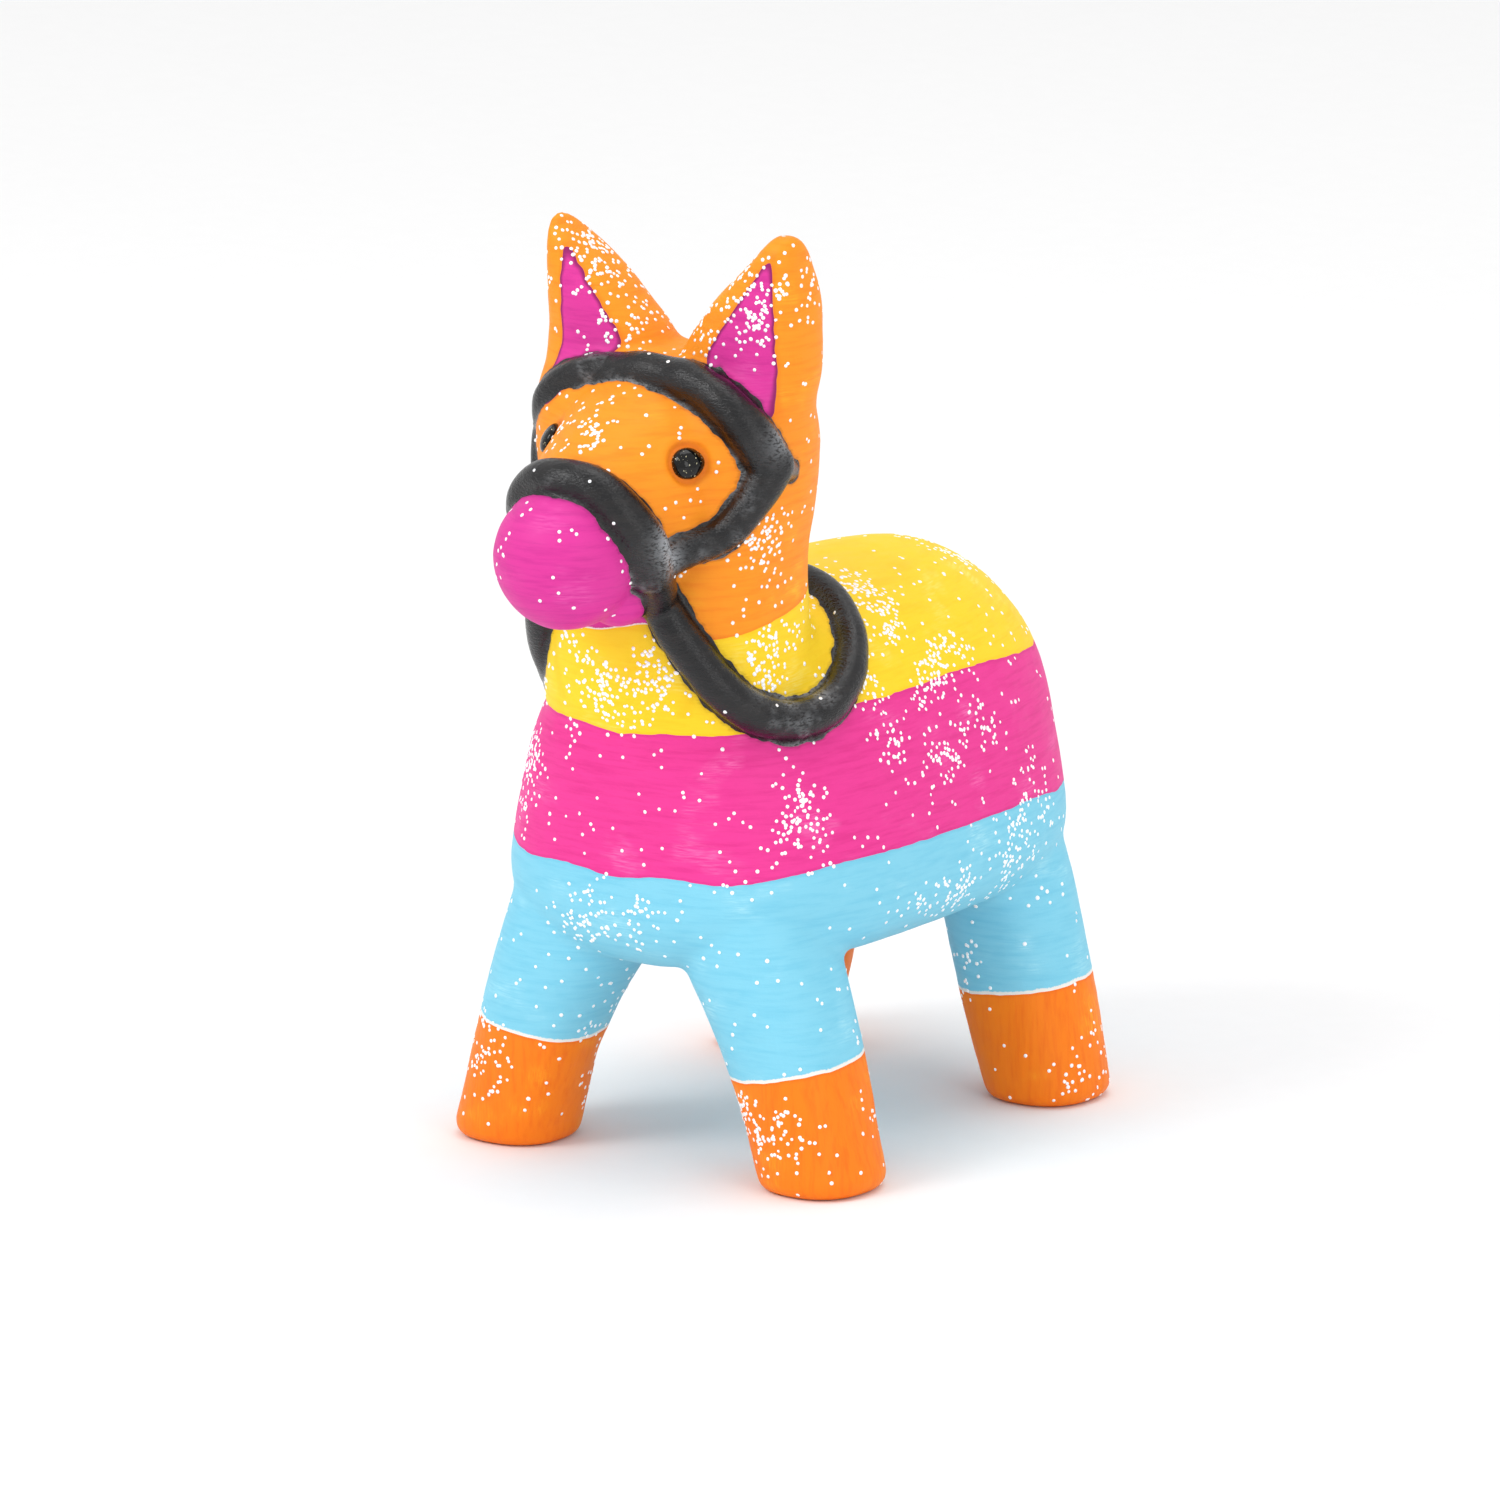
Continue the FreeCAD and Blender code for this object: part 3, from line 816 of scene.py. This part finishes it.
HEAD_ORANGE = rgb(253, 150, 28), rgb(244, 122, 16), rgb(254, 184, 44)
HOOF_ORANGE = rgb(249, 128, 12), rgb(238, 100, 6), rgb(254, 166, 30)
MAGENTA = rgb(217, 52, 152), rgb(188, 34, 134), rgb(228, 84, 170)
BLUE = rgb(130, 206, 230), rgb(102, 190, 220), rgb(172, 228, 242)
MATERIALS = {
    "head_orange_paint": paint("head_orange_paint", *HEAD_ORANGE, seed=1),
    "orange_paint": paint("orange_paint", *HOOF_ORANGE, seed=2, upright=True),
    "yellow_paint": paint("yellow_paint", rgb(252, 212, 34), rgb(247, 196, 16), rgb(254, 236, 124), seed=3),
    "pink_paint": paint("pink_paint", rgb(233, 56, 148), rgb(210, 34, 126), rgb(243, 112, 180), seed=4),
    "magenta_paint": paint("magenta_paint", *MAGENTA, seed=5, gap=0.22),
    "lining_paint": paint("lining_paint", *MAGENTA, seed=5, line=0.85, shade=0.4),
    "blue_paint": paint("blue_paint", *BLUE, seed=6),
    "blue_leg": paint("blue_leg", *BLUE, seed=6, gap=0.42),
    "black_rope": black_paint(),
    "eye_gloss": eye_gloss(),
    "bisque": bisque(),
    "glitter": glitter(),
}


# ---------------------------------------------------------------- build the skin

points, faces = casting_skin()
ropes = ropes_on(points, faces)
eyes = {}
for hand in SIDES:
    low, high = box("eye_" + hand)
    eyes[hand] = (low + high) / 2 + EYE_SHIFT[hand]
rope_names = sorted({name for name, _, _ in ropes})
tubes = []
for i, (name, line, radius) in enumerate(ropes):
    lumps = noise(line, 2.6, 20 + i)
    tubes.append(tube(line, radius * (1 + 0.06 * lumps)))
skin, skin_faces = outer_skin(*remeshed(*joined([(points, faces)] + tubes)))
skin = smoothed(skin, skin_faces, 4)
normal = normals_of(skin, skin_faces)
wobble = noise(skin, 9.0, 11) * 0.12 + noise(skin, 3.0, 12) * 0.05 + noise(skin, 1.0, 13) * 0.02
# The feet stay flat, so the wobble fades out over their lowest 2 mm
ground = np.clip(skin[:, 2] / 2.0, 0, 1)
for centre in eyes.values():
    away = np.linalg.norm(skin - centre, axis=1)
    rim = EYE_RIM * np.exp(-((away - EYE_RIM_AT) / EYE_RIM_WIDE) ** 2)
    wobble += rim - EYE_GROOVE * np.exp(-((away - EYE_GROOVE_AT) / EYE_GROOVE_WIDE) ** 2)
skin = skin + normal * (wobble * ground)[:, None]
skin[:, 2] = np.maximum(skin[:, 2], 0.0)
normal = normals_of(skin, skin_faces)

faces_before_cuts = skin_faces.copy()
fields = fields_of(skin, ropes)
names = list(fields)
data = np.concatenate([skin, normal, np.stack([fields[name] for name in names], 1)], 1)
column = {name: 6 + i for i, name in enumerate(names)}
for name in CUTS:
    data, skin_faces = split(data, skin_faces, column[name])
points = data[:, :3]
normal = data[:, 3:6] / np.linalg.norm(data[:, 3:6], axis=1, keepdims=True)
value = {name: data[:, column[name]][skin_faces].mean(1) for name in names}
at_x = points[skin_faces][:, :, 0].mean(1)
leg_of = data[:, column["leg_index"]][skin_faces].round().max(1).astype(int)
rope_of = np.round(np.median(data[:, column["rope"]][skin_faces], axis=1)).astype(int)

# Each piece's material and slot
PIECES = {}
for name in rope_names:
    PIECES[name] = ("black_rope", "black_rope")
for leg in LEGS:
    PIECES["hoof_" + leg] = ("orange_paint", "orange_paint")
    PIECES["leg_" + leg] = ("blue_leg", "blue_paint")
PIECES["belly_shell"] = ("blue_paint", "blue_paint")
PIECES["middle_shell"] = ("pink_paint", "pink_paint")
PIECES["back_shell"] = ("yellow_paint", "yellow_paint")
PIECES["neck_shell"] = ("yellow_paint", "yellow_paint")
PIECES["head_shell"] = ("head_orange_paint", "head_orange_paint")
PIECES["muzzle"] = ("magenta_paint", "magenta_paint")
for hand in SIDES:
    PIECES["ear_" + hand] = ("head_orange_paint", "head_orange_paint")
    PIECES["ear_lining_" + hand] = ("lining_paint", "magenta_paint")
order = list(PIECES)
region = np.full(len(skin_faces), -1)


def claim(name, where):
    """Gives the piece those faces that no piece has claimed yet."""
    region[where & (region < 0)] = order.index(name)


region[value["drain"] > 0] = len(order)
for i, name in enumerate(rope_names):
    claim(name, (value["black"] < 0) & (rope_of == i))
claim(rope_names[0], value["black"] < 0)
for i, leg in enumerate(LEGS):
    claim("hoof_" + leg, (value["hoof"] < 0) & (leg_of == i))
    claim("leg_" + leg, (value["leg"] < 0) & (leg_of == i))
for hand, side in SIDES.items():
    claim("ear_lining_" + hand, value["lining_" + hand] < 0)
    claim("ear_" + hand, (value["ear"] > 0) & (at_x * side > 0))
claim("belly_shell", value["blue"] < 0)
claim("middle_shell", value["pink"] < 0)
claim("muzzle", (value["muzzle"] < 0) & (value["yellow"] > 0))
claim("head_shell", value["yellow"] > 0)
claim("neck_shell", (value["joint"] > 0) & (value["nape"] < 0))
claim("back_shell", np.ones(len(region), bool))

# Where the black is rubbed chalky and carries a painted highlight on its crest: a point on a rope about the
# feet, how wide in mm, and how strong
CHALK_AND_HIGHLIGHT_SPOTS = [
    (9.0, -33.0, 64.5, 1.8, 0.75), (8.6, -32.4, 62.4, 1.4, 0.6), (14.0, -22.4, 72.6, 1.6, 0.5),
    (13.8, -20.4, 46.6, 1.1, 0.4), (14.8, -16.0, 46.4, 1.1, 0.4), (12.4, -23.8, 47.8, 1.0, 0.35),
]
# The borders that each piece's darker line follows, by the start of the piece's name
EDGES = {
    "hoof": "hoof",
    "leg": "hoof",
    "belly": "blue",
    "middle": "blue pink",
    "back": "pink",
    "neck": "pink yellow muzzle",
    "head": "yellow lining_left lining_right muzzle",
    "muzzle": "yellow muzzle",
    "ear": "lining_left lining_right",
    "ear_lining": "lining_left lining_right",
}
# The distance, in mm, that stands for being away from every border
AWAY_FROM_ALL = 9.0


def edge_distance(name, rows):
    for stem in sorted(EDGES, key=len, reverse=True):
        if name.startswith(stem):
            return np.min([np.abs(data[rows, column[key]]) for key in EDGES[stem].split()], axis=0)
    return np.full(len(rows), AWAY_FROM_ALL)


for i, name in enumerate(order):
    chosen = skin_faces[region == i]
    rows = np.unique(chosen)
    index = np.full(len(points), -1)
    index[rows] = np.arange(len(rows))
    border = {"border": edge_distance(name, rows), "black": data[rows, column["black"]]}
    border["eye"] = eye_gap(points[rows])
    if name in rope_names:
        # Chalky wear along the black's edge, plus spots that are chalky scuffs and painted highlights
        inner = np.clip(1 + border["black"] / 0.4, 0, 1)
        border["chalk_and_highlight"] = inner * np.clip(noise(points[rows], 5.0, 31) * 1.6 - 0.25, 0, 1) * 0.45
        for x, y, z, wide, strength in CHALK_AND_HIGHLIGHT_SPOTS:
            away = np.linalg.norm(points[rows] - placed((x, y, z)), axis=1)
            border["chalk_and_highlight"] += strength * np.exp(-(away / wide) ** 2)
    mesh = shell_mesh(name, points[rows], normal[rows], index[chosen], border, SHELL)
    look, slot = PIECES[name]
    piece(name + "_paint", mesh, MATERIALS[look], [name])


def plain_mesh(name, points, faces):
    """A closed smooth mesh away from every colour border."""
    mesh = mesh_of(name, points * MM, faces)
    mesh.polygons.foreach_set("use_smooth", np.ones(len(mesh.polygons), bool))
    for label in ("border", "black", "eye"):
        attribute = mesh.attributes.new(label, "FLOAT", "POINT")
        attribute.data.foreach_set("value", np.full(len(points), AWAY_FROM_ALL, np.float32))
    return mesh


def lathe(profile, count=40):
    """Rings of (radius, height) about +Z, with no caps."""
    angle = angles(count)
    rings = [np.c_[np.cos(angle) * r, np.sin(angle) * r, np.full(count, z)] for r, z in profile]
    return np.concatenate(rings), ring_faces(len(profile), count, capped=False)


def turned(points, normal, centre):
    """The points with their +Z turned to normal, about centre."""
    rotation = np.array(Vector(normal).to_track_quat("Z", "Y").to_matrix())
    return points @ rotation.T + centre


skin_tree = BVHTree.FromPolygons(skin.tolist(), faces_before_cuts.tolist())


def eyes_laid():
    """Domed drops of gloss black, a little out of round."""
    tilt = np.linspace(0, math.pi, 22)
    profile = [(math.sin(t) + 1e-4, -math.cos(t)) for t in tilt]
    for i, (hand, centre) in enumerate(eyes.items()):
        foot, out, _, _ = skin_tree.find_nearest(Vector(centre))
        points, faces = lathe(profile)
        points = points * (EYE_RADIUS, EYE_RADIUS * 0.9, EYE_HEIGHT[hand])
        points = points * (1 + 0.05 * noise(points, 1.1, 40 + i))[:, None]
        points = turned(points, out, np.array(foot) + np.array(out) * 0.05)
        node = "eye_" + hand
        piece(node + "_drop", plain_mesh(node, points, faces), MATERIALS["eye_gloss"], [node])


def tail_laid():
    """The tail with the grooves of a modelling tool down its tuft."""
    points, faces = remeshed(*cad_skin(["tail"]), 0.2)
    points = smoothed(points, faces, 6)
    out = normals_of(points, faces)
    strands = noise(points * (1, 1, 0.12), 0.8, 51)
    points = points + out * (strands * 0.22)[:, None]
    points = smoothed(points, faces, 2)
    mesh = plain_mesh("tail", points, faces)
    piece("tail_paint", mesh, MATERIALS["head_orange_paint"], ["tail"])


def drain_bore():
    """The bare wall of the drain hole, its lip rubbed round."""
    wall, lip, height = 1.2, 0.25, 3.2
    r, out = DRAIN_RADIUS, DRAIN_RADIUS + wall
    profile = [(r, lip), (r + lip * 0.3, lip * 0.3), (r + lip, 0.02), (out, 0.1)]
    profile += [(out, height), (r, height), (r, lip)]
    points, faces = lathe(profile)
    points = points + (*DRAIN, belly_low)
    piece("drain_bore", plain_mesh("drain_bore", points, faces[:, ::-1]), MATERIALS["bisque"])


eyes_laid()
tail_laid()
drain_bore()

# ---------------------------------------------------------------- glitter

# Where a wet brush left thick glitter: the CAD node, the place in its box as shares of x, y and z, how far
# the clumps there are strewn in mm, how many there are, and how dense they are
PATCHES = [
    ("neck_shell", (0.4, 0.0, 0.4), 6.0, 7, 1.7),
    ("neck_shell", (1.0, 0.4, 0.4), 3.5, 4, 2.8),
    ("back_shell", (0.9, 0.5, 0.5), 7.0, 7, 2.6),
    ("back_shell", (0.6, 0.8, 0.9), 6.0, 3, 1.8),
    ("middle_shell", (0.1, 0.0, 0.6), 4.0, 4, 2.0),
    ("middle_shell", (0.9, 0.1, 0.3), 3.0, 2, 2.2),
    ("middle_shell", (1.0, 0.5, 0.5), 6.0, 6, 1.6),
    ("belly_shell", (1.0, 0.6, 0.8), 6.0, 5, 2.0),
    ("belly_shell", (0.4, 0.0, 0.4), 7.0, 4, 1.8),
    ("hoof_front_left", (0.3, 0.0, 0.6), 3.5, 3, 1.5),
    ("hoof_front_right", (0.3, 0.0, 1.0), 4.0, 3, 1.5),
    ("hoof_rear_left", (1.0, 0.3, 0.4), 4.0, 2, 1.5),
    ("head_shell", (0.4, 0.1, 0.8), 4.0, 3, 1.0),
    ("head_shell", (1.0, 0.4, 0.3), 4.0, 3, 1.5),
    ("ear_left", (0.6, 0.0, 0.5), 6.0, 4, 1.6),
    ("ear_lining_left", (0.6, 0.0, 0.7), 4.0, 2, 1.6),
    ("ear_right", (0.7, 0.0, 0.6), 5.0, 4, 1.6),
    ("muzzle", (0.6, 0.0, 0.5), 5.0, 1, 1.2),
]
CLUMP_SEED = 8
CLUMP_WIDTHS = (1.4, 2.8)
CLUMP_GAIN = 1.5
FLAKE_SEED = 7
FLAKE_RADIUS = 0.185
FLAKE_SIDES = 8
FLAKE_THICKNESS = 0.05
# How many flakes are tried, and the most that are kept on a square millimetre
TRIED = 90000
MOST_DENSE = 4.2
# The heights where the glitter is divided into pieces
LEGS_TOP, BODY_TOP = 22, 55


def clumps_on(at, chosen):
    """The middle, width and density of every clump, each on one of the points at on the chosen faces."""
    rng = np.random.default_rng(CLUMP_SEED)
    made = []
    for node, shares, reach, count, strength in PATCHES:
        low, high = box(node)
        gap = np.linalg.norm(at - (low + (high - low) * shares), axis=1)
        near = np.exp(-(gap / reach) ** 2) * (region[chosen] == order.index(node))
        for middle in at[rng.choice(len(at), count, p=near / near.sum())]:
            made.append((middle, rng.uniform(*CLUMP_WIDTHS), strength * rng.uniform(0.8, 1.2)))
    return made


def glitter_density(at, out, chosen):
    """Flakes per square millimetre at the points at, whose normals are out, on the chosen faces."""
    spread = noise(at, 6.5, 61) + 0.35 * noise(at, 2.2, 62)
    dense = 0.15 + 2.6 * np.clip(spread - 0.5, 0, 1)
    for middle, wide, strength in clumps_on(at, chosen):
        away = np.linalg.norm(at - middle, axis=1)
        dense += CLUMP_GAIN * strength * np.exp(-(away / wide) ** 2)
    dense = dense * (0.35 + 1.3 * np.clip(noise(at, 1.1, 63) + 0.3, 0, 1))
    black = value["black"][chosen] < 0
    muzzle = region[chosen] == order.index("muzzle")
    dense = np.where(black, dense * 0.1, np.where(muzzle, dense * 0.75, dense))
    dense = np.where((out[:, 2] < -0.75) | (value["drain"][chosen] > 0), dense * 0.05, dense)
    return np.where(eye_gap(at) < 0.3, 0, dense)


def flake_prisms(rng, at, out):
    """The points of each flake, a thin prism that lies a little askew on the skin."""
    out = out + rng.normal(0, 0.1, out.shape)
    out /= np.linalg.norm(out, axis=1, keepdims=True)
    size = FLAKE_RADIUS * (1 + rng.normal(0, 0.09, len(at)))
    side = np.cross(out, rng.normal(0, 1, out.shape))
    side /= np.linalg.norm(side, axis=1, keepdims=True)
    up = np.cross(out, side)
    angle = angles(FLAKE_SIDES)
    ring = side[:, None] * np.cos(angle)[None, :, None] + up[:, None] * np.sin(angle)[None, :, None]
    ring = ring * size[:, None, None] + at[:, None]
    top = ring + out[:, None] * FLAKE_THICKNESS * 0.7
    base = ring - out[:, None] * FLAKE_THICKNESS * 0.3
    return np.concatenate([base, top], 1)


def flakes():
    """Round flakes strewn on the skin: singles everywhere, and clumps where a wet brush left them."""
    rng = np.random.default_rng(FLAKE_SEED)
    corner = points[skin_faces]
    across = np.cross(corner[:, 1] - corner[:, 0], corner[:, 2] - corner[:, 0])
    area = np.linalg.norm(across, axis=1) / 2
    total = area.sum()
    chosen = rng.choice(len(skin_faces), TRIED, p=area / total)
    u, v = rng.random(TRIED), rng.random(TRIED)
    flip = u + v > 1
    u, v = np.where(flip, 1 - u, u), np.where(flip, 1 - v, v)
    first, second, third = corner[chosen].transpose(1, 0, 2)
    at = first + (second - first) * u[:, None] + (third - first) * v[:, None]
    out = normal[skin_faces[chosen]].mean(1)
    dense = glitter_density(at, out, chosen)
    kept = rng.random(TRIED) * (TRIED / total) < np.minimum(dense, MOST_DENSE)
    kept &= at[:, 2] > 0.4
    height = at[kept, 2]
    each = flake_prisms(rng, at[kept], out[kept])
    zones = {
        "glitter_legs": height < LEGS_TOP,
        "glitter_body": (height >= LEGS_TOP) & (height < BODY_TOP),
        "glitter_head": height >= BODY_TOP,
    }
    for name, inside in zones.items():
        prisms = each[inside]
        first = np.arange(len(prisms)) * 2 * FLAKE_SIDES
        faces = (prism_faces(FLAKE_SIDES)[None] + first[:, None, None]).reshape(-1, 3)
        mesh = mesh_of(name, prisms.reshape(-1, 3) * MM, faces)
        piece(name, mesh, MATERIALS["glitter"])


flakes()

# ---------------------------------------------------------------- camera, light and floor

TARGET = placed((0, 0, 45.0)) * MM
AZIMUTH, ELEVATION, ROLL = 34.376, 14.0, 0.138
DISTANCE = 1.8
# The width of the view at the target, in metres, and how far the view is shifted, as shares of that width
FRAME_WIDTH = 0.14356
SHIFT_X, SHIFT_Y = -0.024, -0.0611
SENSOR = 36.0
FLOOR_HALF = 3.0


def camera():
    data = bpy.data.cameras.new("camera")
    data.sensor_width = SENSOR
    data.lens = SENSOR * DISTANCE / FRAME_WIDTH
    data.shift_x = SHIFT_X
    data.shift_y = SHIFT_Y
    data.clip_start, data.clip_end = 0.1, 20
    obj = bpy.data.objects.new("camera", data)
    collection.objects.link(obj)
    a, e = math.radians(AZIMUTH), math.radians(ELEVATION)
    back = Vector((math.sin(a) * math.cos(e), -math.cos(a) * math.cos(e), math.sin(e)))
    turn = (-back).to_track_quat("-Z", "Y") @ Matrix.Rotation(math.radians(-ROLL), 3, "Z").to_quaternion()
    obj.rotation_mode = "QUATERNION"
    obj.rotation_quaternion = turn
    obj.location = Vector(TARGET) + back * DISTANCE
    bpy.context.scene.camera = obj


def softbox(name, place, size, power, aim=(0, 0, 0.045)):
    data = bpy.data.lights.new(name, "AREA")
    data.shape = "DISK"
    data.size = size
    data.energy = power
    obj = bpy.data.objects.new(name, data)
    collection.objects.link(obj)
    obj.location = place
    obj.rotation_mode = "QUATERNION"
    obj.rotation_quaternion = (Vector(aim) - Vector(place)).to_track_quat("-Z", "Y")


def studio():
    world = bpy.data.worlds.new("studio")
    world.use_nodes = True
    world.node_tree.nodes["Background"].inputs["Color"].default_value = (1, 1, 1, 1)
    world.node_tree.nodes["Background"].inputs["Strength"].default_value = 0.85
    bpy.context.scene.world = world
    softbox("key", (-0.25, -0.55, 0.55), 0.35, 1.9)
    softbox("fill", (0.65, -0.3, 0.3), 0.4, 0.85)
    softbox("top", (0.05, 0.1, 0.8), 0.5, 1.3)
    n = Nodes("floor")
    grain = n.noise((3.0, 3.0, 3.0), 2, 0.5, 0.0)
    material = n.done(n.mix(grain, (0.92, 0.92, 0.92), (0.9, 0.9, 0.9)), 0.9, n.bump(grain, 0.002))
    half = FLOOR_HALF
    corners = np.array([(-half, -half, 0), (half, -half, 0), (half, half, 0), (-half, half, 0)])
    floor = bpy.data.objects.new("floor", mesh_of("floor", corners, np.array([(0, 1, 2, 3)])))
    floor.data.materials.append(material)
    collection.objects.link(floor)
    bpy.context.scene.view_settings.view_transform = "Standard"


camera()
studio()
